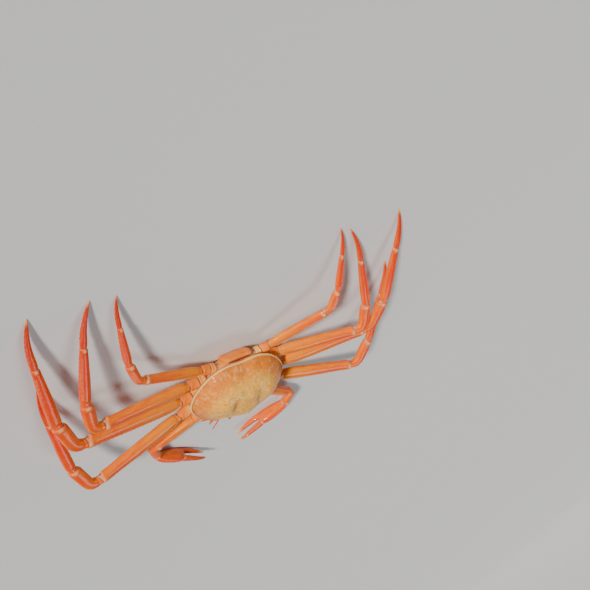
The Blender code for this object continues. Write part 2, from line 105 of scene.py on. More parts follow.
# Abdomen: (y, z, half width) at the ends of its seven segments, along its middle
PLEON_LINE = [
    (43.0, 20.2, 13.5), (42.6, 15.6, 15.6), (39.6, 10.0, 16.2), (33.4, 4.2, 15.4), (24.5, 1.3, 12.8),
    (14.5, 1.3, 10.6), (3, 1.3, 8.6), (-13, 1.3, 3.2),
]
PLEON_THICK = 3.2
PLEON_ROWS = 26  # a plate
PLEON_FLAT = 0.35  # what is lower than this lies on the floor
BED_DEPTH = 3.3  # the hollow in the sternum that the abdomen lies in
PLEON_SWELL = [(0, 0.86), (0.1, 0.9), (0.3, 0.98), (0.66, 1.0), (0.9, 0.98), (1, 0.86)]
THORAX_LEVELS = [
    (0.0, 0.44, -20, 22), (1.2, 0.52, -24, 27), (6.0, 0.62, -31, 33), (12.5, 0.67, -36.5, 38),
    (18.85, 0.68, -37.5, 41),
]  # (z, share of the wall's width, front y, hind y)

# Left eye and antenna: rows of x, y, z and diameter along them
EYE = [(13.5, -36.5, 21.6, 3.4), (17, -39.5, 21.6, 3.6), (20, -43.2, 21.8, 4.6), (21.6, -45.6, 22.0, 4.2),
       (22.3, -46.8, 22.1, 1.6)]
ANTENNA = [(11, -33, 15.5, 4.0), (12, -41, 16.2, 4.0), (13, -47, 17.0, 2.6), (14.5, -54, 17.8, 1.7),
           (18, -62, 18.6, 1.3), (23, -69, 19.6, 1.0)]
STALK_ROWS = 34  # rings of the eye that are stalk; the cornea stands for the rest
CORNEA_LONG = 2.75  # half its length
CORNEA_WIDE = 2.4
MOUTH = [(-38.6, 15.5, 0.3, 7.5), (-36.4, 11, 0.3, 9), (-31.5, 5.6, 0.3, 8.4), (-26, 2.2, 0.3, 6.5)]
MOUTH_THICK = 3.0
MOUTH_SPREAD = 1.12  # the mouthparts' outer edge bulges a little beyond the solid
# Only here: the folded antennule under the horn, and the palp at the inner edge of the mouthpart
ANTENNULE = [(3.2, -38.5, 19.6, 2.2), (3.6, -42, 20.6, 2.3), (4.4, -45.2, 20.9, 1.9), (5.4, -47.6, 20, 1.3),
             (6.0, -48.6, 18.4, 0.9), (5.8, -48.4, 17.2, 0.5)]
PALP = [(7.4, -38.6, 15.2, 2.4), (6.0, -40.1, 14.6, 2.3), (4.0, -40.3, 12.6, 2.1), (2.6, -38.6, 9.8, 1.8),
        (2.0, -36.0, 7.4, 1.0)]

# Limbs of the left side, as in the part's source: where the base starts and ends, its thickness and depth,
# the merus's depth and thickness, and the lengths of merus, carpus, propodus and dactyl
LIMBS = {
    "leg1": dict(root=(34, -12, 12.2), rise=(60, -25, 14), base=(12.4, 12.2), deep=14.4, thick=9.2,
                 long=(92, 40, 62, 44)),
    "leg2": dict(root=(36, 4, 12.2), rise=(59, 0, 14), base=(12.4, 12.4), deep=15.2, thick=9.4,
                 long=(97, 42, 66, 46)),
    "leg3": dict(root=(32, 19.5, 12.2), rise=(51, 21, 14), base=(12.0, 12.2), deep=14.2, thick=9.0,
                 long=(88, 38, 58, 42)),
    "leg4": dict(root=(22.8, 31.5, 12.8), rise=(38, 38, 13.6), base=(10.6, 10.8), deep=10.4, thick=7.2,
                 long=(66, 27, 40, 30)),
    "claw": dict(root=(27.5, -26.5, 12.2), rise=(43, -42, 13), base=(11.6, 11.6), deep=12.4, thick=11.0,
                 long=(50, 25, 38, 34)),
}
# Degrees: forward from straight sideways, about its own length, and the bends at knee, ankle and toe
POSE = {
    "right": {
        "leg1": (12, 76, 84, 14, 16),
        "leg2": (-11, 76, 66, 12, 18),
        "leg3": (-9, 77, 82, 10, 16),
        "leg4": (-27, 70, 52, 12, 14),
        "claw": (36, -88, 72, 38, 6),
    },
    "left": {
        "leg1": (8, 76, 78, 12, 16),
        "leg2": (-13, 74, 58, 16, 16),
        "leg3": (-7, 76, 86, 12, 18),
        "leg4": (-30, 66, 46, 14, 16),
        "claw": (40, -86, 66, 46, 7),
    },
}
# Where each segment's bend ends, and rows of share, depth and thickness
SEGMENTS = {
    "merus": dict(bend_end=0.1, swell=[
        (0, 0.66, 0.84), (0.06, 0.86, 0.94), (0.22, 1, 1), (0.55, 0.96, 0.98), (0.88, 0.84, 0.92),
        (0.96, 0.88, 1.0), (1, 0.84, 0.96)]),
    "carpus": dict(bend_end=0.45, swell=[
        (0, 0.70, 0.86), (0.14, 0.74, 0.92), (0.3, 0.78, 0.94), (0.48, 0.82, 0.94), (0.9, 0.84, 0.90),
        (1, 0.76, 0.8)]),
    "propodus": dict(bend_end=0.16, swell=[
        (0, 0.58, 0.66), (0.1, 0.68, 0.74), (0.3, 0.68, 0.72), (0.7, 0.56, 0.62), (0.95, 0.46, 0.54),
        (1, 0.42, 0.50)]),
    "dactyl": dict(bend_end=1.0, swell=[
        (0, 0.40, 0.48), (0.1, 0.42, 0.48), (0.4, 0.34, 0.40), (0.7, 0.23, 0.28), (0.9, 0.13, 0.17),
        (1, 0.05, 0.07)]),
}
# The claw's hand and finger: share, depth, thickness and offset
HAND = [(0, 8.4, 8.6, 0), (0.06, 9.6, 11, 0), (0.2, 11, 14.4, 0.2), (0.36, 11.6, 16.2, 0.2),
        (0.524, 9.6, 16.2, 0), (0.530, 6.8, 7.2, -4.4), (0.6, 6.2, 6.6, -4.4), (0.75, 5, 5.4, -3.6),
        (0.9, 3.4, 3.4, -1.8), (1, 1.6, 1.6, -0.2)]
FINGER = [(0, 7.0, 6.6, 0), (0.08, 7.0, 7.2, 0), (0.3, 5.8, 6.2, 0.2), (0.6, 4.4, 4.6, 0.2),
          (0.85, 2.8, 3.0, -0.4), (1, 1.6, 1.6, -1.2)]
# The same two for the render, with the palm rounded into its fixed finger
FINE_HAND = [(0, 8.2, 8.4, 0), (0.03, 9.2, 9.8, 0), (0.1, 10.2, 12.2, 0.1), (0.2, 11, 14.4, 0.2),
             (0.36, 11.6, 16.2, 0.2), (0.46, 10.8, 16.3, 0.1), (0.5, 10.0, 15.6, -0.2),
             (0.518, 9.3, 14.2, -0.8), (0.528, 8.2, 10.6, -2.7), (0.54, 7.2, 8.0, -3.9),
             (0.6, 6.3, 6.7, -4.4), (0.75, 5, 5.4, -3.6), (0.9, 3.4, 3.4, -1.8), (0.97, 2.2, 2.2, -0.7),
             (1, 1.1, 1.1, -0.2)]
FINE_FINGER = [(0, 6.4, 6.0, 0), (0.03, 7.2, 6.9, 0), (0.08, 7.0, 7.2, 0), (0.14, 6.3, 6.6, 0.1),
               (0.3, 5.8, 6.2, 0.2), (0.6, 4.4, 4.6, 0.2), (0.85, 2.8, 3.0, -0.4), (0.96, 1.9, 2.0, -1.0),
               (1, 1.0, 1.0, -1.25)]
PALM_EDGE = (0.505, 0.545, 15)  # extra rings where the palm ends: first and last share, how many
HAND_BEND_END = 0.16
PALM_SHARE = 0.528
HINGE = 4.5  # how far the movable finger's hinge stands to the upper side of the palm
BASE_SWELL = [(0, 1.0, 1.0), (0.22, 1.04, 1.04), (0.40, 0.84, 0.88), (0.55, 0.96, 0.98), (0.82, 0.90, 0.94),
              (1, 0.76, 0.80)]
STUB_DEPTH = 9.0 * UNIT
ROUNDNESS = 2.3
COARSE_SIDES = 10  # the solids' limbs have this many sides, and the lift is worked out on them
FINE_SIDES = 56
ROW_STEP = 0.8  # distance between the rings of a limb
NOTCH_END = 0.26  # how far a joint's edge draws back on the folding side, as a share of the limb's depth
NOTCH_START = 0.16
SKIN_SIZE = 0.92  # the joint's skin against the shell
SKIN_BACK = 4.0 * UNIT  # how far it reaches back from the joint, and ahead
SKIN_AHEAD = 3.6 * UNIT
LIFTS = (-25.0, 45.0)  # degrees between which a limb's lift is looked for

# Relief of the legs' segments: angles round them in degrees, heights in mm. 0 and 180 are the hinge sides,
# 90 the outer side and 270 the side that a segment folds towards
HINGES = (0, 180)
RIDGES = (52, 128)
FURROWS = (22, 158)
LOW_RIDGES = (232, 308)
RIDGE_HEIGHT = 0.26
SPINULE_HEIGHT = 0.42
SPINULE_RATE = 1.45  # radians of their wave in a mm
FURROW_DEPTH = 0.28
LOW_RIDGE_HEIGHT = 0.2
COLLAR_HEIGHT = 0.22
NECK_DEPTH = 0.35
KNUCKLE_HEIGHT = 0.8
TOOTH_HEIGHT = 0.75
PALM_GRAIN_HEIGHT = 0.22

# Camera, from the photograph
IMAGE = 590
FOCAL = 579.0  # in pixels
AZIMUTH = 22.0  # from behind the crab towards its right side
ELEVATION = 28.0
ROLL = 33.0
DISTANCE = 600.0
TARGET = (0.0, 0.0, 32.0)
TARGET_PIXEL = (241.5, 393.4)  # where the target falls in the photograph
SENSOR = 36.0

# Floor: a bowl, flat and pale in the middle, that rises far away. It is darker there where the key sun
# shines on the wall and paler where it doesn't, so that it looks much the same from every side
BOWL_RADIUS = 12000.0
BOWL_HEIGHT = 5000.0
BOWL_RISE = (0.7, 1.0)  # shares of the way out between which it rises
LIT_START = (0.68, 0.82)  # shares of the way out between which the darker colour comes in
SHADED_START = (0.36, 0.56)  # and the paler one, as far in as the wall's shadow reaches
SHADED_SIDE = (-0.45, 0.35)  # cosines of the angle to the key sun between which the shaded side begins
FLOOR_COLOUR = (0.69, 0.686, 0.675)
LIT_COLOUR = (0.42, 0.42, 0.415)
SHADED_COLOUR = (0.95, 0.945, 0.93)
# Light: where each sun shines from, its strength, its spread in radians, its colour
SUNS = {
    "key": ((-0.70, 0.62, 0.46), 4.8, 0.14, (1.0, 0.97, 0.92)),
    "front": ((0.30, -0.45, 0.85), 0.7, 0.4, (0.94, 0.97, 1.0)),
}
SKY = (0.90, 0.95, 1.0)
SKY_STRENGTH = 0.18


# Curves and grids


def unit(v):
    """Vectors scaled to length 1, along the last axis."""
    v = np.asarray(v, float)
    return v / np.linalg.norm(v, axis=-1, keepdims=True)


def step(x, low, high):
    """Smooth step 3t^2 - 2t^3 with t running from 0 at low to 1 at high."""
    t = np.clip((np.asarray(x, float) - low) / (high - low), 0, 1)
    return t * t * (3 - 2 * t)


def bell(x, middle, width):
    """Gaussian exp(-((x - middle) / width)^2)."""
    return np.exp(-(((np.asarray(x, float) - middle) / width) ** 2))


def hermite(t, start, end, leaving, arriving):
    """Cubic from start at t = 0 to end at t = 1 with these slopes at its two ends."""
    return ((2 * t**3 - 3 * t**2 + 1) * start + (t**3 - 2 * t**2 + t) * leaving
            + (3 * t**2 - 2 * t**3) * end + (t**3 - t**2) * arriving)


def strips(turn, middles, width):
    """Strips along a limb: Gaussians of the angle's distance from each middle one, in degrees."""
    return sum(bell((turn - middle + 180) % 360, 180, width) for middle in middles)


def upright(along):
    """The upward direction square to each direction."""
    return unit(np.array([0, 0, 1.0]) - along[..., 2:] * along)


def eased(x, table):
    """Monotone cubic through a table's rows, share first: harmonic-mean slopes, 0 at turning points."""
    table = np.array(table, float)
    at, value = table[:, 0], table[:, 1:]
    width = np.diff(at)[:, None]
    slope = np.diff(value, axis=0) / width
    same = slope[1:] * slope[:-1] > 0
    total = np.where(same, slope[1:] + slope[:-1], 1)
    tangent = np.vstack([slope[:1], np.where(same, 2 * slope[1:] * slope[:-1] / total, 0), slope[-1:]])
    i = np.clip(np.searchsorted(at, x, side="right") - 1, 0, len(at) - 2)
    t = (np.asarray(x, float) - at[i])[:, None] / width[i]
    return hermite(t, value[i], value[i + 1], width[i] * tangent[i], width[i] * tangent[i + 1])


def smooth_line(points, corners, steps):
    """Hermite curve through the points, with chord-length tangents, straight into each corner."""
    p = np.array(points, float)
    chord = np.linalg.norm(np.diff(p, axis=0), axis=1)
    tangent = np.zeros_like(p)
    tangent[1:-1] = (p[2:] - p[:-2]) / (chord[1:] + chord[:-1])[:, None]
    tangent[0][0] = np.sign(p[1][0] - p[0][0])
    tangent[-1][0] = np.sign(p[-1][0] - p[-2][0])
    t = np.arange(steps)[:, None] / steps
    rows = []
    for i, length in enumerate(chord):
        straight = (p[i + 1] - p[i]) / length
        start = straight if i in corners else tangent[i]
        end = straight if i + 1 in corners else tangent[i + 1]
        rows.append(hermite(t, p[i], p[i + 1], length * start, length * end))
    return np.vstack(rows + [p[-1:]])


def closed_outline(half, corners):
    """The left half and its mirror image as one closed ring of points, counted once at the midline."""
    left = smooth_line(half, corners, OUTLINE_STEPS)
    right = left[-2:0:-1] * (-1, 1)
    return np.vstack([left, right]) * UNIT


def grid_normals(points):
    """Outward directions of a grid of closed rings: the cross product of its row and column differences."""
    along = np.gradient(points, axis=0)
    around = np.roll(points, -1, axis=1) - np.roll(points, 1, axis=1)
    normal = np.cross(around, along)
    normal /= np.maximum(np.linalg.norm(normal, axis=-1, keepdims=True), 1e-9)
    middle = points.mean(axis=1, keepdims=True)
    outward = ((points - middle) * normal).sum(-1).mean() > 0
    return normal if outward else -normal


def raised(points, height):
    """The grid moved along its outward directions by a height for each point."""
    return points + grid_normals(points) * np.asarray(height)[..., None]


def grid_faces(rows, around):
    """The quads between the rings of a grid whose rings are closed."""
    i, j = np.meshgrid(np.arange(rows - 1), np.arange(around), indexing="ij")
    a, b = i * around + j, i * around + (j + 1) % around
    return np.stack([a, b, b + around, a + around], -1).reshape(-1, 4)


def made(name, points, faces, values):
    """A smooth mesh object from points in mm, with a number for each point under each name in values."""
    mesh = bpy.data.meshes.new(name)
    mesh.from_pydata(points * MM, [], faces)
    for key, numbers in values.items():
        attribute = mesh.attributes.new(key, "FLOAT", "POINT")
        attribute.data.foreach_set("value", numbers.astype(np.float32))
    mesh.shade_smooth()
    piece = bpy.data.objects.new(name, mesh)
    bpy.context.scene.collection.objects.link(piece)
    return piece


def surface(name, look, points, node=None, fields=None):
    """A closed mesh from a grid of rings in mm: quads between rings, a fan of triangles on each end.

    fields: names and grids of numbers, kept on the points for the material to read; one left out is 0.
    """
    points = np.asarray(points, float)
    rows, around = points.shape[:2]
    quads = grid_faces(rows, around)
    ring = np.arange(around)
    following = (ring + 1) % around
    base = (rows - 1) * around
    first = np.stack([np.full(around, rows * around), following, ring], -1)
    last = np.stack([np.full(around, rows * around + 1), base + ring, base + following], -1)
    flat = np.vstack([points.reshape(-1, 3), points[0].mean(0), points[-1].mean(0)])
    a, b, c = flat[quads[..., 0]], flat[quads[..., 1]], flat[quads[..., 2]]
    if np.einsum("...i,...i", np.cross(b - a, c - a), a - flat.mean(0)).sum() < 0:
        quads, first, last = quads[..., ::-1], first[:, ::-1], last[:, ::-1]
    values = {}
    for key, grid in (fields or {}).items():
        grid = np.broadcast_to(np.asarray(grid, float), (rows, around))
        values[key] = np.concatenate([grid.ravel(), [grid[0].mean(), grid[-1].mean()]])
    piece = made(name, flat, quads.tolist() + first.tolist() + last.tolist(), values)
    piece.data.materials.append(look.material)
    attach(piece, "root")
    if node:
        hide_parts(node)


# Materials


class Value:
    """A shader socket in a Python expression: each operator adds one Math node."""

    def __init__(self, look, socket):
        self.look = look
        self.socket = socket

    def math(self, operation, *values):
        """A Math node with this operation on the values."""
        return self.look.node("ShaderNodeMath", {"operation": operation}, *values)

    def __add__(self, other):
        return self.math("ADD", self, other)

    def __sub__(self, other):
        return self.math("SUBTRACT", self, other)

    def __rsub__(self, other):
        return self.math("SUBTRACT", other, self)

    def __mul__(self, other):
        return self.math("MULTIPLY", self, other)

    __radd__ = __add__
    __rmul__ = __mul__

    def step(self, low, high):
        """0 below low and 1 above high, smooth between."""
        settings = {"interpolation_type": "SMOOTHSTEP", "clamp": True}
        return self.look.node("ShaderNodeMapRange", settings, self, low, high, 0.0, 1.0)


class Look:
    """A Principled material, built from expressions."""

    def __init__(self, name, slot, **sockets):
        self.material = bpy.data.materials.new(name)
        self.material.use_nodes = True
        self.tree = self.material.node_tree
        self.shader = self.tree.nodes["Principled BSDF"]
        self.slot = slot
        self.place = self.node("ShaderNodeTexCoord", {}, output="Object")
        for key, value in sockets.items():
            self.set(key, value)

    def fill(self, socket, value):
        """Links an expression to a socket, or sets a number, a colour or a vector on it."""
        if isinstance(value, Value):
            self.tree.links.new(value.socket, socket)
        elif isinstance(value, tuple) and socket.type == "RGBA":
            socket.default_value = (*value, 1.0)
        else:
            socket.default_value = value

    def node(self, kind, settings, *values, output=None, **named):
        """One node: its settings, then its inputs in order or by name; returns its first or named output."""
        added = self.tree.nodes.new(kind)
        for key, value in settings.items():
            setattr(added, key, value)
        shown = [s for s in added.inputs if s.enabled]
        for socket, value in zip(shown, values):
            self.fill(socket, value)
        for key, value in named.items():
            self.fill(next(s for s in shown if s.name == key), value)
        outputs = [s for s in added.outputs if s.enabled]
        return Value(self, added.outputs[output] if output else outputs[0])

    def set(self, key, value):
        """Fills a socket of the shader; an underscore in its name stands for a space."""
        self.fill(self.shader.inputs[key.replace("_", " ")], value)

    def field(self, name):
        """The number that the piece's points carry under this name."""
        return self.node("ShaderNodeAttribute", {"attribute_name": name}, output="Fac")

    def noise(self, size, detail, rough):
        """Cloudy noise from 0 to 1 with patches of about this size in mm."""
        return self.node("ShaderNodeTexNoise", {}, Vector=self.place, Scale=1 / (size * MM), Detail=detail,
                         Roughness=rough)

    def cells(self, size):
        """Distance from the nearest of a scatter of points, about this many mm apart; 0 to about 1."""
        return self.node("ShaderNodeTexVoronoi", {}, Vector=self.place, Scale=1 / (size * MM),
                         output="Distance")

    def colours(self, colour, *layers):
        """Base Color: a colour, with further ones laid over it, each by its amount."""
        for over, amount in layers:
            colour = self.node("ShaderNodeMix", {"data_type": "RGBA"}, amount, colour, over)
        self.set("Base Color", colour)

    def relief(self, height, depth):
        """Bumps of this depth in mm, from a height of 0 to 1."""
        self.set("Normal", self.node("ShaderNodeBump", {}, Height=height, Distance=depth * MM, Strength=1.0))


# The wet shell: a thin film of water over it and a little light inside it
WET = dict(Coat_Roughness=0.05, Coat_IOR=1.34, Subsurface_Weight=0.08, Subsurface_Scale=0.003,
           Subsurface_Radius=(1.0, 0.35, 0.12), Specular_IOR_Level=0.1, IOR=1.52)


def shell_look():
    """Carapace: ochre to tan, grey-green clouds in the middle, orange-brown at rim and face (own colour with
    painted shade), dark specks and fine grain.
    """
    look = Look("shell", "shell", **WET)
    cloud = look.noise(24, 3, 0.55)
    patch = look.noise(7, 4, 0.6)
    mottle = look.noise(3.2, 3, 0.55)
    speck = look.noise(1.2, 2, 0.6)
    bumps = 1 - look.cells(1.5)
    edge = look.field("edge")
    middle = 1 - edge
    mixed = patch * 0.6 + mottle * 0.4
    look.colours(
        (0.96, 0.39, 0.02),
        ((0.94, 0.46, 0.055), cloud.step(0.38, 0.62)),
        ((0.48, 0.30, 0.07), (cloud * 0.5 + patch * 0.5).step(0.47, 0.60) * middle * 0.85),
        ((0.98, 0.64, 0.20), mixed.step(0.53, 0.66) * middle * 0.7),
        # orange-brown towards the rim and the face, dark blotches at the rim: partly the shell's own margin
        # colour, partly painted shade where the dome turns from the light
        ((0.78, 0.19, 0.008), (edge * 1.1 + (patch - 0.5) * 0.8).step(0.2, 1.0) * 0.92),
        # painted shade: darker brown in the grooves; the mottle laid with it is the shell's own colour
        ((0.44, 0.17, 0.04), look.field("shaded_grooves") * 0.5 + mottle.step(0.54, 0.70) * 0.6),
        ((0.50, 0.13, 0.012), edge.step(0.72, 1.0) * patch.step(0.4, 0.62) * 0.6),
        ((0.26, 0.08, 0.02), speck.step(0.57, 0.72) * 0.55),
        ((0.86, 0.50, 0.18), bumps.step(0.66, 0.95) * 0.3 + look.field("knob") * 0.45),
        ((0.86, 0.56, 0.22), look.field("rim")),
    )
    look.set("Roughness", 0.34 + speck * 0.2 - mottle * 0.1)
    look.set("Coat Weight", 0.2 + patch * 0.45)
    look.relief(bumps.step(0.45, 0.95) * 0.7 + speck * 0.3, 0.28)
    return look


def limb_look():
    """Limbs: yellow-orange at the root, red at the tip, paler on knuckles, crests and folding sides, with
    painted shade in the furrows.
    """
    look = Look("limb", "limb", **WET)
    cloud = look.noise(16, 3, 0.5)
    patch = look.noise(4, 4, 0.6)
    speck = look.noise(0.8, 2, 0.6)
    bumps = 1 - look.cells(1.3)
    run = look.field("run") + (cloud - 0.5) * 0.16
    strand = look.node("ShaderNodeCombineXYZ", {}, look.field("turn") * 5.0, look.field("along") * 0.05, 0.0)
    streak = look.node("ShaderNodeTexNoise", {}, Vector=strand, Scale=1.0, Detail=3.0, Roughness=0.6)
    look.colours(
        (0.88, 0.22, 0.001),
        ((0.88, 0.105, 0.0005), run.step(0.06, 0.34)),
        ((0.80, 0.038, 0.0005), run.step(0.36, 0.72)),
        ((0.52, 0.014, 0.002), (run + (patch - 0.5) * 0.2).step(0.7, 1.0) * 0.8),
        ((0.88, 0.22, 0.004), look.field("flexor").step(0.2, 1.0) * 0.4),
        ((0.56, 0.04, 0.004), patch.step(0.56, 0.74) * 0.4),
        ((0.92, 0.32, 0.01), streak.step(0.5, 0.68) * (1.1 - run) * 0.6),
        ((0.66, 0.06, 0.002), (1 - streak).step(0.5, 0.68) * 0.4),
        # painted shade: darker red in the furrows along the segments
        ((0.60, 0.045, 0.001), look.field("shaded_furrows") * 0.45),
        ((0.94, 0.38, 0.03), look.field("crest") * (1.15 - run) * 0.6),
        ((0.88, 0.52, 0.20), look.field("pale") * 0.8),
    )
    look.set("Roughness", 0.26 + speck * 0.16)
    look.set("Coat Weight", 0.3 + patch * 0.5)
    look.relief(patch * 0.35 + speck * 0.25 + bumps.step(0.5, 0.95) * 0.4, 0.2)
    return look


def under_look():
    """Underside, leg bases and abdomen: cream to orange-tan, with dark brown-purple folds and seams, partly
    the joints' own colour, partly painted shade.
    """
    look = Look("underside", "underside", **WET)
    cloud = look.noise(14, 3, 0.5)
    patch = look.noise(3.5, 4, 0.6)
    speck = look.noise(0.9, 2, 0.6)
    look.colours(
        (0.90, 0.42, 0.08),
        ((0.88, 0.19, 0.004), (look.field("warm") + (cloud - 0.5) * 0.8).step(0.15, 0.9)),
        ((0.55, 0.12, 0.02), patch.step(0.52, 0.72) * 0.4),
        # dark brown-purple in folds, seams and furrows: partly the joints' own colour, partly painted shade
        # in the creases
        ((0.30, 0.075, 0.05), (look.field("fold") * (0.6 + patch * 0.8)).step(0.1, 0.8)),
    )
    look.set("Roughness", 0.32 + speck * 0.2)
    look.set("Coat Weight", 0.2 + patch * 0.45)
    look.relief(patch * 0.6 + speck * 0.4, 0.22)
    return look


def skin_look():
    """Soft skin of the joints: pinkish tan with brown-purple shadows, folded."""
    look = Look("joint_skin", "underside", **WET)
    fine = look.noise(0.9, 2, 0.5)
    look.colours((0.66, 0.33, 0.18), ((0.26, 0.075, 0.05), look.noise(5, 3, 0.6).step(0.48, 0.66)))
    look.set("Roughness", 0.34 + fine * 0.2)
    look.set("Coat Weight", 0.5 + fine * 0.2)
    look.relief(fine, 0.3)
    return look


def eye_look():
    """Cornea: near black with a faint brown cast, very glossy."""
    look = Look("eye", "eye", Coat_Roughness=0.03, IOR=1.5)
    cloud = look.noise(1.2, 3, 0.6)
    look.colours((0.010, 0.008, 0.007), ((0.05, 0.026, 0.014), cloud.step(0.45, 0.7)))
    look.set("Roughness", 0.10 + cloud * 0.08)
    look.set("Coat Weight", 0.8 + cloud * 0.1)
    return look


SHELL = shell_look()
LIMB = limb_look()
UNDER = under_look()
SKIN = skin_look()
CORNEA = eye_look()


# Carapace


def spot(x, y, region):
    """Gaussian spot of one region, 1 in its middle."""
    return bell(x / UNIT, region[0], region[2]) * bell(y / UNIT, region[1], region[3])


def dome(x, y, share):
    """Height over the rim: the bulge (1 - r^p)^q, lower towards the face, with the regions on it."""
    face = eased(np.ravel(y) / UNIT, DOME_FADE).reshape(x.shape)
    outer, power = DOME_POWERS
    body = (1 - np.clip(share / FLANGE, 0, 1) ** outer) ** power
    lumps = sum(region[4] * spot(x, y, region) for region in REGIONS)
    return (DOME_HEIGHT * face + REGION_GAIN * UNIT * lumps) * body


def tubercles(x, y):
    """Small round knobs on a jittered golden-angle spiral: a sum of Gaussians, 1 on a knob of usual size."""
    rng = np.random.default_rng(7)
    radius = TUBERCLE_RADIUS * UNIT
    index = np.arange(TUBERCLES)
    reach = np.sqrt((index + 0.5) / TUBERCLES)
    turn = index * math.pi * (3 - math.sqrt(5)) + rng.uniform(-0.4, 0.4, TUBERCLES)
    cx = reach * np.cos(turn) * TUBERCLE_SPREAD[0] * UNIT
    cy = reach * np.sin(turn) * TUBERCLE_SPREAD[1] * UNIT + 0.5
    total = np.zeros(x.shape)
    for px, py, r in zip(cx, cy, radius * rng.uniform(0.6, 1.25, TUBERCLES)):
        near = (np.abs(x - px) < 3 * r) & (np.abs(y - py) < 3 * r)
        total[near] += bell(x[near], px, r) * bell(y[near], py, r) * r / radius
    return total


def carapace():
    """The dorsal shell in polar rows: centre, dome, ledge with its bead and spines, side wall and foot."""
    rim = closed_outline(OUTLINE, OUTLINE_CORNERS)
    wall = closed_outline(WALL, ())
    around = len(rim)
    share = (1 - (1 - np.linspace(0, 1, DOME_ROWS)) ** 1.25)[1:, None]
    spiky = np.clip((share - SPINE_START) / (1 - SPINE_START), 0, 1)[..., None]
    plan = (wall + (rim - wall) * spiky) * share[..., None]
    x, y = plan[..., 0], plan[..., 1]
    rear = step(y, *BEAD_FADE)
    grains = 1 + 0.3 * np.cos(np.arange(around) * 2 * np.pi / 4)[None]
    knobs = tubercles(x, y)
    inside = step(share, 0.99, 0.94)
    z = MARGIN_Z + dome(x, y, share) + TUBERCLE_HEIGHT * UNIT * knobs * inside
    z = z + RIM_BEAD[0] * UNIT * bell(share, *RIM_BEAD[1:]) * rear * grains
    z = z - RIM_VALLEY[0] * UNIT * bell(share, *RIM_VALLEY[1:]) * rear
    below = []
    for ring_share, drop in LEDGE:
        below.append(np.column_stack([rim * ring_share, np.full(around, MARGIN_Z - drop * RIM_DEPTH)]))
    middle = np.column_stack([wall * 0.965, np.full(around, MARGIN_Z - 2.2 * RIM_DEPTH)])
    foot = np.column_stack([wall * WALL_INSET, np.full(around, PARTING_Z + GAP / 2)])
    for a, b, count in ((below[-1], middle, 5), (middle, foot, 12)):
        below.extend(a + (b - a) * np.linspace(0, 1, count + 1)[1:, None, None])
    points = np.concatenate([np.dstack([x, y, z]), np.array(below)])
    top = len(share)
    edge, bead, knob = (np.full(points.shape[:2], value) for value in (1.0, 0.0, 0.0))
    # edge: grows towards the rim, and lower down towards the face; the material paints it partly as shade
    edge[:top] = step(share, 0.5, 0.98)
    bead[:top] = step(share, *BEAD_COLOUR) * rear * 0.8
    bead[top: top + 3] = step(rim[:, 1], *BEAD_FADE)[None] * 0.7
    knob[:top] = knobs * inside
    # mask of the grooves, where the material paints shade
    shaded_grooves = sum(spot(points[..., 0], points[..., 1], region) for region in REGIONS if region[4] < 0)
    shaded_grooves[top:] = 0
    # painted shade: more of the edge colour towards the face
    edge = edge + step(points[..., 1], -14, -42) * 0.55
    fields = {"edge": edge, "rim": bead, "knob": knob, "shaded_grooves": shaded_grooves}
    fields = {key: np.clip(grid, 0, 1) for key, grid in fields.items()}
    surface("carapace_shell", SHELL, points, "carapace", fields)


# Limbs


def ring_angles(sides):
    """The angles of a ring's points, half a step off the axes."""
    return 2 * np.pi * (np.arange(sides) + 0.5) / sides


def section(deep, thick, power, sides):
    """Superellipse |x/a|^m + |y/b|^m = 1 for each depth and thickness, as offsets to the side and up."""
    angle = ring_angles(sides)
    c, s = np.cos(angle), np.sin(angle)
    across = np.sign(c) * np.abs(c) ** (2 / power) * np.asarray(thick)[:, None] / 2
    up = np.sign(s) * np.abs(s) ** (2 / power) * np.asarray(deep)[:, None] / 2
    return across, up


def tube(centre, along, normal, deep, thick, offset=0, sides=FINE_SIDES):
    """Rings of the cross-section set square to a centreline, shifted sideways by the offset."""
    side = np.cross(along, normal)
    across, up = section(deep, thick, ROUNDNESS, sides)
    across = across + np.broadcast_to(offset, len(centre))[:, None]
    return centre[:, None] + across[..., None] * side[:, None] + up[..., None] * normal[:, None]


def bent_line(start, along, normal, length, bend, bend_end, shares):
    """Centreline of one segment: it turns by bend within the first bend_end of its length, then runs on.

    The angle is bend * (3u^2 - 2u^3), u = share / bend_end, and the place is the integral of its direction.
    """
    fine = np.linspace(0, 1, 121)
    u = np.clip(fine / bend_end, 0, 1)
    angle = math.radians(bend) * u * u * (3 - 2 * u)
    direction = np.cos(angle)[:, None] * along - np.sin(angle)[:, None] * normal
    stride = (direction[1:] + direction[:-1]) / 2 * length / (len(fine) - 1)
    place = start + np.vstack([np.zeros(3), np.cumsum(stride, axis=0)])
    shares = np.asarray(shares, float)
    centre = np.stack([np.interp(shares, fine, place[:, k]) for k in range(3)], 1)
    turn = np.interp(shares, fine, angle)[:, None]
    return centre, np.cos(turn) * along - np.sin(turn) * normal, np.cos(turn) * normal + np.sin(turn) * along


def limb_frame(heading, lift, twist):
    """Direction and upper side of a left limb that points sideways, turned forward, up and about itself."""
    ahead, rise, turn = (math.radians(angle) for angle in (heading, lift, twist))
    level = math.cos(rise)
    along = np.array([math.cos(ahead) * level, -math.sin(ahead) * level, math.sin(rise)])
    up = upright(along)
    return along, unit(math.cos(turn) * up + math.sin(turn) * np.cross(along, up))


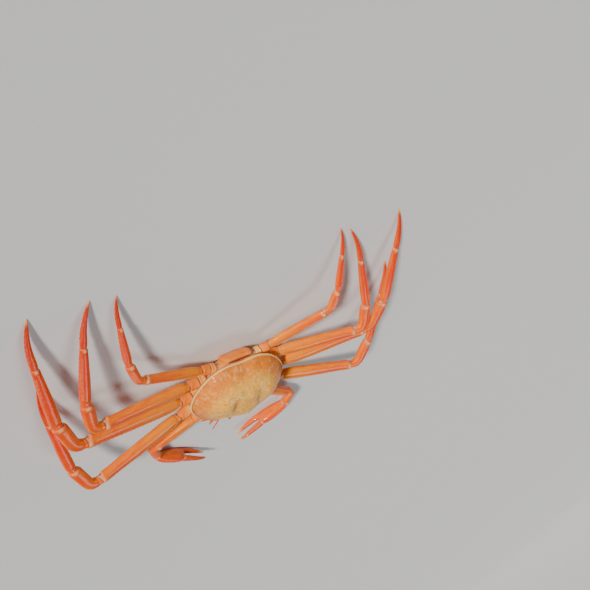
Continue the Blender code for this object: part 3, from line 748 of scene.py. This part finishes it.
def limb_lines(name, pose, lift):
    """Every segment beyond the base: its line, its table of sizes, where its bend ends, and its scale."""
    limb = LIMBS[name]
    heading, twist, *bends = pose
    along, normal = limb_frame(heading, lift, twist)
    place = np.array(limb["rise"], float) * UNIT
    lengths = np.array(limb["long"], float) * UNIT
    scale = (limb["deep"] * UNIT, limb["thick"] * UNIT)
    found = {}
    for kind, length, bend in zip(SEGMENTS, lengths, (0, *bends)):
        if name == "claw" and kind == "propodus":
            break
        bend_end = SEGMENTS[kind]["bend_end"]
        table = [(*row, 0) for row in SEGMENTS[kind]["swell"]]
        found[kind] = ((place, along, normal, length, bend), table, bend_end, scale)
        place, along, normal = (e[0] for e in bent_line(place, along, normal, length, bend, bend_end, [1.0]))
    if name == "claw":
        whole = (place, along, normal, lengths[2] / PALM_SHARE, bends[1])
        found["hand"] = (whole, HAND, HAND_BEND_END, (UNIT, UNIT))
        hinge, along, normal = (e[0] for e in bent_line(*whole, HAND_BEND_END, [PALM_SHARE]))
        side = np.cross(along, normal)
        opening = math.radians(bends[2])
        reach = math.cos(opening) * along + math.sin(opening) * side
        line = (hinge + HINGE * UNIT * side, reach, normal, lengths[3], 0)
        found["finger"] = (line, FINGER, 1, (UNIT, UNIT))
    return found


def segment(spec, share, values, sides):
    """Rings of one segment at these shares of its length, from rows of depth, thickness and offset."""
    line, _, bend_end, scale = spec
    length = line[3]
    cut = np.clip(share, GAP / 2 / length, 1 - GAP / 2 / length)
    centre, forward, up = bent_line(*line, bend_end, cut)
    deep, thick, offset = values.T
    return tube(centre, forward, up, scale[0] * deep, scale[1] * thick, scale[1] * offset, sides), forward


def settled(name, pose):
    """The lift at which the limb's lowest point just presses on the floor, found by halving the range.

    It is worked out on the solids' coarse rings, so the fine pieces lie where the solids do.
    """
    low, high = LIFTS
    for _ in range(40):
        lift = (low + high) / 2
        lowest = 0
        for spec in limb_lines(name, pose, lift).values():
            table = np.array(spec[1], float)
            rings, _ = segment(spec, table[:, 0], table[:, 1:], COARSE_SIDES)
            lowest = min(lowest, rings[..., 2].min())
        if lowest < -PRESS:
            low = lift
        else:
            high = lift
    return lift


def placed(points, side):
    """The same points on the crab's right or left, pressed flat where they reach the floor."""
    points = np.array(points, float)
    points[..., 2] = np.maximum(points[..., 2], 0)
    return points * (-1, 1, 1) if side == "right" else points


def base_line(limb, merus_along, merus_normal, shares):
    """Centreline of coxa and ischium: a quadratic curve from the socket into the merus's direction."""
    root = np.array(limb["root"], float) * UNIT
    rise = np.array(limb["rise"], float) * UNIT
    reach = np.linalg.norm(rise - root)
    middle = rise - merus_along * reach * 0.45
    t = np.asarray(shares, float)[:, None]
    centre = (1 - t) ** 2 * root + 2 * t * (1 - t) * middle + t**2 * rise
    along = unit((1 - t) * (middle - root) + t * (rise - middle))
    blend = (1 - t) * np.array([0, 0, 1.0]) + t * merus_normal
    normal = unit(blend - (blend * along).sum(1, keepdims=True) * along)
    return centre, along, normal, reach


def relief(kind, share, length):
    """Ridges with spinules, furrows, collars and hinge knobs over a segment: their height in mm and fields.

    The spinules are a raised cosine, cubed; everything else is a Gaussian round and along the segment.
    """
    s = share[:, None] * length
    turn = np.degrees(ring_angles(FINE_SIDES))[None]
    from_end = length - s
    body = step(s, 2, 9) * step(from_end, 3, 10)
    spinules = (0.5 + 0.5 * np.cos(s * SPINULE_RATE)) ** 3
    ridges = strips(turn, RIDGES, 7) * (RIDGE_HEIGHT + SPINULE_HEIGHT * spinules) * body
    # mask of the furrows: cut into the shape, and darkened in the material as painted shade
    shaded_furrows = strips(turn, FURROWS, 13) * body
    low = LOW_RIDGE_HEIGHT * strips(turn, LOW_RIDGES, 9) * body
    collar = COLLAR_HEIGHT * bell(from_end, 1.6, 1.3)
    neck = -NECK_DEPTH * bell(s, 3.2, 1.6) * (kind != "dactyl")
    knob = bell(from_end, 2.2, 1.7) * strips(turn, HINGES, 22) * (kind != "dactyl")
    height = ridges - FURROW_DEPTH * shaded_furrows + low + collar + neck + KNUCKLE_HEIGHT * knob
    pale = knob + 0.25 * bell(from_end, 0.4, 0.8)
    return height * UNIT, {"pale": pale, "crest": ridges * 2.2 + low * 2, "shaded_furrows": shaded_furrows}


def teeth(kind, share, length):
    """Blunt teeth along the facing edges of the claw's two fingers, and small grains on the palm.

    The teeth are a raised cosine to the power 1.5 along the finger, times a Gaussian round it.
    """
    s = share[:, None] * length
    turn = np.degrees(ring_angles(FINE_SIDES))[None]
    first, middle = (0.56, 0) if kind == "hand" else (0.14, 180)
    blade = step(share, first, first + 0.05) * step(share, 0.98, 0.86)
    saw = (0.5 + 0.5 * np.cos(s * 2.3)) ** 1.5 * (0.75 + 0.25 * np.cos(s * 0.61))
    height = TOOTH_HEIGHT * strips(turn, [middle], 26) * blade[:, None] * saw
    if kind == "hand":
        palm = step(share, 0.04, 0.14) * step(share, 0.5, 0.42)
        rows = np.cos(turn * 0.42) ** 4 * (0.5 + 0.5 * np.cos(s * 1.7)) ** 3
        height = height + PALM_GRAIN_HEIGHT * palm[:, None] * rows
    pale = 0.85 * step(share, 0.84, 0.99)[:, None]
    return height * UNIT, {"pale": pale, "crest": height * UNIT * 2}


def limb_piece(side, name, kind, spec, reach, total):
    """One segment in fine rings with its relief; reach: how far along the limb it starts.

    Towards the folding side each joint's edge draws back, so that the soft skin shows there.
    """
    line, table, _, scale = spec
    length = line[3]
    share = np.linspace(0, 1, max(24, int(length / ROW_STEP)))
    if kind == "hand":
        share = np.sort(np.concatenate([share, np.linspace(*PALM_EDGE)]))
    values = eased(share, {"hand": FINE_HAND, "finger": FINE_FINGER}.get(kind, table))
    rings, forward = segment(spec, share, values, FINE_SIDES)
    if kind in ("hand", "finger"):
        height, fields = teeth(kind, share, length)
    else:
        height, fields = relief(kind, share, length)
        height = height * np.clip(values[:, :1] * scale[0] / 6, 0.2, 1)
    fields = {key: np.clip(grid, 0, 1) for key, grid in fields.items()}
    if kind == "dactyl":
        fields["pale"] = fields["pale"] * 0.3 + step(share, 0.82, 0.98)[:, None] * 0.8
    angle = ring_angles(FINE_SIDES)
    flexor = np.clip(-np.sin(angle), 0, 1)
    near_end = step(length * (1 - share), 7 * UNIT, 0) * (kind in ("merus", "carpus", "propodus"))
    near_start = step(length * share, 6 * UNIT, 0)
    drawn = (NOTCH_START * near_start - NOTCH_END * near_end) * values[:, 0] * scale[0]
    points = raised(rings, height) + forward[:, None] * (drawn[:, None] * flexor**1.6)[..., None]
    fields.update({
        "run": ((reach + share * length) / total)[:, None], "flexor": flexor,
        "turn": np.abs((angle / np.pi + 0.5) % 2 - 1) + 3 * reach, "along": (share * length)[:, None],
    })
    label = f"{side}_{name}_{kind}"
    surface(f"{label}_shell", LIMB, placed(points, side), label, fields)


def joint_skin(side, label, line, bend_end, deep, thick, back, ahead):
    """Soft skin through a joint: a tube along the bent line, narrower than the shell, with cosine folds."""
    start, along, normal, length, bend = line
    t = np.linspace(-back, ahead, 21)
    centre, forward, up = bent_line(start, along, normal, length, bend, bend_end, np.clip(t / length, 0, 1))
    centre = centre + np.minimum(t, 0)[:, None] * along
    swell = SKIN_SIZE + 0.022 * np.cos(t * 3.6) - 0.10 * step(np.abs(t) / back, 0.7, 1.0)
    rings = tube(centre, forward, up, deep * swell, thick * swell, 0, 32)
    surface(f"{label}_skin", SKIN, placed(rings, side))


def base_piece(side, name, lift):
    """Coxa and ischium, with the joint between them as a fold, and the skin round the root.

    Fold and knuckles are Gaussians of the share along; the knuckles stand where cos 2a is high on a ring.
    """
    limb = LIMBS[name]
    heading, twist = POSE[side][name][:2]
    ends = limb_frame(heading, lift, twist)
    reach = base_line(limb, *ends, [0.0])[3]
    share = np.linspace(0, 1, 56)
    values = eased(share, BASE_SWELL)
    centre, along, normal, _ = base_line(limb, *ends, np.clip(share, GAP / 2 / reach, 1 - GAP / 2 / reach))
    size = np.array(limb["base"]) * UNIT
    rings = tube(centre, along, normal, size[1] * values[:, 0], size[0] * values[:, 1])
    angle = ring_angles(FINE_SIDES)
    hinges = np.clip(np.cos(2 * angle), 0, 1)[None] ** 2
    fold = bell(share, 0.40, 0.035)
    folded = bell(share, 0.33, 0.05) * 0.5 + bell(share, 0.47, 0.04) * 0.4 - 0.6 * fold
    knuckles = 0.9 * bell(share, 0.93, 0.05) + 0.8 * bell(share, 0.34, 0.045)
    height = (folded * UNIT + 0.3 * bell(share, 0.12, 0.05))[:, None] + knuckles[:, None] * hinges
    height = height + 0.25 * np.sin(3 * angle + 1)[None] * share[:, None]
    # fold: the crease and both ends, darkened in the material, partly as painted shade
    fold = np.clip(fold + bell(share, 0, 0.06) + 0.8 * bell(share, 1, 0.03), 0, 1)
    fields = {"fold": fold[:, None] * (0.55 + 0.45 * hinges), "warm": 0.15 + 0.8 * share[:, None]}
    label = f"{side}_{name}_base"
    surface(f"{label}_shell", UNDER, placed(raised(rings, height), side), label, fields)
    root = (centre[0], along[0], normal[0], 40.0, 0)
    joint_skin(side, label, root, 1, size[1], size[0], STUB_DEPTH, 2.0)


def limb(side, name):
    """One whole limb: base, segments, and the skin in each joint."""
    pose = POSE[side][name]
    lift = settled(name, pose)
    base_piece(side, name, lift)
    lines = limb_lines(name, pose, lift)
    total = sum(spec[0][3] for kind, spec in lines.items() if kind != "finger")
    reach = 0.0
    for kind, spec in lines.items():
        line, table, bend_end, scale = spec
        limb_piece(side, name, kind, spec, reach, total)
        deep, thick = table[0][1] * scale[0], table[0][2] * scale[1]
        joint_skin(side, f"{side}_{name}_{kind}", line, bend_end, deep, thick, SKIN_BACK, SKIN_AHEAD)
        reach += line[3] * (PALM_SHARE if kind == "hand" else 1)


# Body below the shell


def rod(rows, count, sides=32):
    """Rings round a bent rod given as rows of x, y, z and diameter, eased between them."""
    rows = np.array(rows, float) * UNIT
    at = np.linspace(0, 1, len(rows))
    share = np.linspace(0, 1, count)
    line = eased(share, np.column_stack([at, rows]))
    centre = line[:, :3]
    along = unit(np.gradient(centre, axis=0))
    return tube(centre, along, upright(along), line[:, 3], line[:, 3], 0, sides), share


def slab(y, z, half, thick, power, sides):
    """Rings of a flattened superellipse along a path in the y-z plane, and which side each point is on."""
    place = np.column_stack([y, z])
    along = unit(np.gradient(place, axis=0))
    out = np.column_stack([-along[:, 1], along[:, 0]])
    across, up = section(thick, 2 * half, power, sides)
    flat = place[:, None] + up[..., None] * out[:, None]
    return np.concatenate([across[..., None], flat], -1), up / (thick[:, None] / 2)


def pleon():
    """The abdomen: seven overlapping plates, each a slab that swells and ends in a lip.

    On them are a keel along the middle, a lobe on each side and, behind, cross wrinkles, sine waves.
    """
    line = np.array(PLEON_LINE, float) * UNIT
    plates = len(line) - 1
    where = np.linspace(0, plates, plates * PLEON_ROWS + 1)
    y, z, half = eased(where, np.column_stack([np.arange(len(line)), line])).T
    within = where % 1.0
    size = eased(within, PLEON_SWELL)[:, 0]
    rings, up = slab(y, z, half * size, PLEON_THICK * UNIT * size, 3.2, 96)
    x = rings[..., 0] / UNIT
    wrinkles = 0.09 * np.sin(where[:, None] * 12.6 + 0.5 * np.cos(x * 0.4)) * step(where, 3.6, 2.6)[:, None]
    lip = 0.3 * bell(within, 0.88, 0.07)[:, None]
    keel = 0.5 * bell(x, 0, 3.4) * step(within, 0.05, 0.4)[:, None]
    lobes = 0.35 * bell(np.abs(x), 0.72 * half[:, None], 2.6) * step(within, 0.1, 0.4)[:, None]
    height = (wrinkles + lip + keel + lobes) * np.clip(np.abs(up), 0, 1) * UNIT
    # the seams between plates, darkened in the material, partly as painted shade
    fold = np.clip(bell(within, 0.0, 0.07) + bell(within, 1.0, 0.05), 0, 1)[:, None]
    points = raised(rings, height)
    points[..., 2] = np.where(points[..., 2] < PLEON_FLAT, 0, points[..., 2])
    fields = {"fold": fold, "warm": 0.75 - 0.35 * step(where, 2, 5)[:, None]}
    surface("pleon_plates", UNDER, points, "pleon", fields)


def thorax():
    """The underside: eased levels of the wall's outline, closed by a sole, with furrows between the legs.

    Each furrow is a Gaussian of the distance from a line that runs out between two limbs.
    """
    wall = closed_outline(WALL, ())
    levels = np.array(THORAX_LEVELS, float)
    z = np.linspace(0, levels[-1, 0], 64)
    share, front, hind = eased(z, levels).T
    plan = wall[None] * share[:, None, None]
    y = plan[..., 1]
    ahead = (front * UNIT)[:, None] / y.min(1)[:, None]
    behind = (hind * UNIT)[:, None] / y.max(1)[:, None]
    height = np.broadcast_to((z * UNIT)[:, None], y.shape)
    rings = np.dstack([plan[..., 0], y * np.where(y < 0, ahead, behind), height])
    sole = [rings[:1] * (k, k, 1) for k in np.linspace(0.08, 0.96, 30)]
    points = np.concatenate(sole + [rings])
    x, y, z = np.abs(points[..., 0]), points[..., 1], points[..., 2]
    low = z <= 0
    place = np.stack([x, y], -1)
    depth = bell(x, 9.7 * UNIT, 0.6) * step(y, -18, -26) * step(z, 17, 14)
    roots = np.array([LIMBS[name]["root"][:2] for name in ("claw", "leg1", "leg2", "leg3", "leg4")]) * UNIT
    for outer in (roots[:-1] + roots[1:]) / 2:
        start = np.array([8 * UNIT, outer[1] * 0.55 + 2])
        furrow = outer - start
        t = np.clip((place - start) @ furrow / (furrow @ furrow), 0, 1.3)
        away = np.linalg.norm(place - start - t[..., None] * furrow, axis=-1)
        depth = np.maximum(depth, bell(away, 0, 0.8))
    points = raised(points, -0.55 * depth * UNIT)
    line = np.array(PLEON_LINE[::-1], float) * UNIT
    half = np.interp(points[..., 1], line[:, 0], line[:, 2])
    bed = step(np.abs(points[..., 0]), half + 0.9, half + 0.3)
    bed = bed * step(points[..., 1], -14.2 * UNIT, -13.6 * UNIT)
    points[..., 2] = np.maximum(points[..., 2], BED_DEPTH * UNIT * bed)
    # the furrows, darkened in the material as painted shade
    fields = {"fold": depth * 0.8, "warm": np.where(low, 0.15, 0.3) + 0.2 * step(points[..., 2], 4, 16)}
    surface("thorax_plates", UNDER, points, "thorax", fields)


def cornea():
    """The end of the eye: an ovoid, size cos t at sin t, along the stalk's last stretch."""
    a, b = np.array(EYE[2][:3]) * UNIT, np.array(EYE[-1][:3]) * UNIT
    t = np.radians(np.linspace(-84, 88, 30))
    along = np.tile(unit(b - a), (len(t), 1))
    centre = (a + b) / 2 + (np.sin(t) * CORNEA_LONG * UNIT)[:, None] * along
    size = 2 * CORNEA_WIDE * UNIT * np.cos(t)
    return tube(centre, along, upright(along), size, size, 0, 32)


def face(side):
    """Eye, antenna, antennule and outer mouthpart with its palp, of one side."""
    rings, _ = rod(EYE, 48)
    surface(f"{side}_eye_stalk", LIMB, placed(rings[:STALK_ROWS], side), f"{side}_eye", {"run": 0.45})
    surface(f"{side}_eye_cornea", CORNEA, placed(cornea(), side))
    rings, share = rod(ANTENNA, 150, 20)
    share = share[:, None]
    beads = 0.10 * np.sin(share * 260) * step(share, 0.38, 0.5) * (1 - 0.6 * share)
    height = beads + 0.3 * bell(share, 0.2, 0.012) - 0.3 * bell(share, 0.24, 0.012)
    fields = {"run": 0.45 + 0.4 * share, "pale": 0.2 * (1 - share)}
    surface(f"{side}_antenna_shell", LIMB, placed(raised(rings, height), side), f"{side}_antenna", fields)
    mouthpart(side)
    for name, rows, look, fields in (
            ("antennule", ANTENNULE, LIMB, {"run": 0.5, "flexor": 0.3, "pale": 0.1}),
            ("palp", PALP, UNDER, {"warm": 0.9})):
        rings, _ = rod(rows, 40, 20)
        surface(f"{side}_{name}", look, placed(rings, side), None, fields)


def mouthpart(side):
    """Outer mouthpart: a slab down the slope of the face, with the suture between its two broad joints."""
    rows = np.array(MOUTH, float) * UNIT
    share = np.linspace(0, 1, 60)
    y, z, inner, outer = eased(share, np.column_stack([np.linspace(0, 1, len(rows)), rows])).T
    outer = outer * MOUTH_SPREAD
    rings, up = slab(y, z, (outer - inner) / 2, np.full(len(y), MOUTH_THICK * UNIT), 4.0, 64)
    rings[..., 0] += ((outer + inner) / 2)[:, None]
    suture = bell(share, 0.42, 0.025)[:, None]
    lane = bell((rings[..., 0] - inner[:, None]) / (outer - inner)[:, None], 0.74, 0.05)
    height = -0.5 * np.maximum(suture, lane * 0.7) * np.abs(up) * UNIT
    ends = 0.75 + 0.25 * step(share, 0, 0.05) * step(share, 1, 0.95)
    middles = rings.mean(axis=1, keepdims=True)
    points = raised(middles + (rings - middles) * ends[:, None, None], height)
    # suture and lane, darkened in the material, partly as painted shade
    fields = {"fold": np.maximum(suture, lane * 0.6), "warm": 0.5}
    surface(f"{side}_maxilliped_plates", UNDER, placed(points, side), f"{side}_maxilliped", fields)


# Floor, light and camera


def stage():
    """A pale floor that curves up into a backdrop far away, all one bowl of rings.

    The rings' radius grows with the square of their share, and their height is a smooth step to the 1.5.
    """
    rows, around = 160, 96
    turn = np.linspace(0, 2 * np.pi, around, endpoint=False)
    t = np.linspace(0, 1, rows)
    radius = (30 + BOWL_RADIUS * t**2)[:, None]
    height = np.broadcast_to((BOWL_HEIGHT * step(t, *BOWL_RISE) ** 1.5)[:, None], (rows, around))
    points = np.stack([radius * np.cos(turn), radius * np.sin(turn), height], -1)
    lit, dim = (step(t, *start)[:, None] for start in (LIT_START, SHADED_START))
    sun = unit(SUNS["key"][0][:2])
    shaded = step(sun[0] * np.cos(turn) + sun[1] * np.sin(turn), *SHADED_SIDE)
    faces = grid_faces(rows, around)[:, ::-1].tolist() + [list(range(around))]
    fields = {"lit": (lit * (1 - shaded)).ravel(), "shaded": (dim * shaded).ravel()}
    floor = made("floor", points.reshape(-1, 3), faces, fields)
    paper = Look("floor_paper", None, Roughness=0.7)
    paper.colours(FLOOR_COLOUR, (LIT_COLOUR, paper.field("lit")), (SHADED_COLOUR, paper.field("shaded")))
    floor.data.materials.append(paper.material)


def posed(obj, right, up, back, place):
    """Places an object by its three axes and its location in mm."""
    columns = np.column_stack([right, up, back, np.asarray(place, float) * MM])
    obj.matrix_world = Matrix([*columns.tolist(), [0, 0, 0, 1]])
    bpy.context.scene.collection.objects.link(obj)


def sunlight(name, back, strength, spread, colour):
    """A sun that shines from a direction, with a soft disc of this angle in radians."""
    data = bpy.data.lights.new(name, "SUN")
    data.energy = strength
    data.angle = spread
    data.color = colour
    back = unit(back)
    right = unit(np.cross((0, 0, 1), back))
    posed(bpy.data.objects.new(name, data), right, np.cross(back, right), back, (0, 0, 1000))


def camera():
    """The photograph's camera: azimuth, elevation and roll, then turned so the target falls on its pixel.

    The turn is the smallest one that takes the pixel's ray onto the line to the target.
    """
    a, e, p = (math.radians(v) for v in (AZIMUTH, ELEVATION, ROLL))
    side = np.array([math.cos(a), math.sin(a), 0])
    back = np.array([-math.sin(a) * math.cos(e), math.cos(a) * math.cos(e), math.sin(e)])
    top = np.cross(back, side)
    axes = np.array([math.cos(p) * side - math.sin(p) * top, math.sin(p) * side + math.cos(p) * top, back])
    pixel = (np.array(TARGET_PIXEL) - IMAGE / 2) / FOCAL
    ray = unit([pixel[0], -pixel[1], -1.0]) @ axes
    turn = Vector(ray).rotation_difference(Vector(-back)).to_matrix()
    axes = axes @ np.array(turn).T
    data = bpy.data.cameras.new("camera")
    data.sensor_width = SENSOR
    data.lens = FOCAL / IMAGE * SENSOR
    data.clip_start, data.clip_end = 0.01, 500
    data.dof.use_dof = False
    obj = bpy.data.objects.new("camera", data)
    posed(obj, *axes, np.array(TARGET) + back * DISTANCE)
    bpy.context.scene.camera = obj


def room():
    """Plain pale surroundings and two soft suns."""
    world = bpy.data.worlds.new("pale_room")
    world.use_nodes = True
    sky = world.node_tree.nodes["Background"]
    sky.inputs["Color"].default_value = (*SKY, 1)
    sky.inputs["Strength"].default_value = SKY_STRENGTH
    bpy.context.scene.world = world
    for name, sun in SUNS.items():
        sunlight(name, *sun)


stage()
carapace()
thorax()
pleon()
for side in ("right", "left"):
    for name in LIMBS:
        limb(side, name)
for side in ("right", "left"):
    face(side)
room()
camera()
